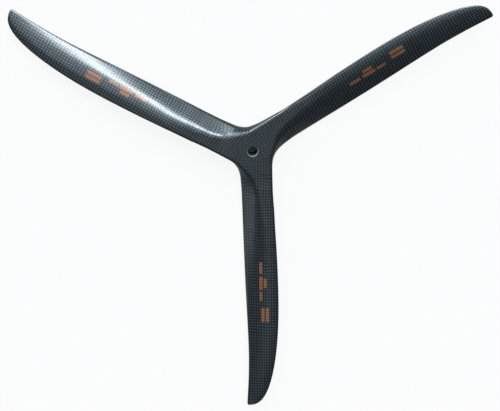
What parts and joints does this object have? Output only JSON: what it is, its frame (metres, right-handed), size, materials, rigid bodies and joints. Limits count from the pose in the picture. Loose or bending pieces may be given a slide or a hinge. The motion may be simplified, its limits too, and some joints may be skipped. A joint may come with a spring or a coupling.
{
  "type": "aircraft propeller",
  "caption": "Fixed-pitch propeller moulded in one piece: twisted, tapering blades run out of a flat hub with a plain centre bore; turns shaft power into thrust.",
  "frame": {"origin": "on the bore axis at the hub's back face", "axes": "+Z along the bore axis towards the front, the way the propeller pulls; one blade points along -Y, the others are 120 degrees apart; it turns counter-clockwise seen from the front"},
  "size_m": [0.487, 0.4251, 0.022],
  "materials": {
    "carbon": "clear-coated woven carbon"
  },
  "bodies": {
    "root": {"propeller": "carbon"}
  },
  "joints": []
}
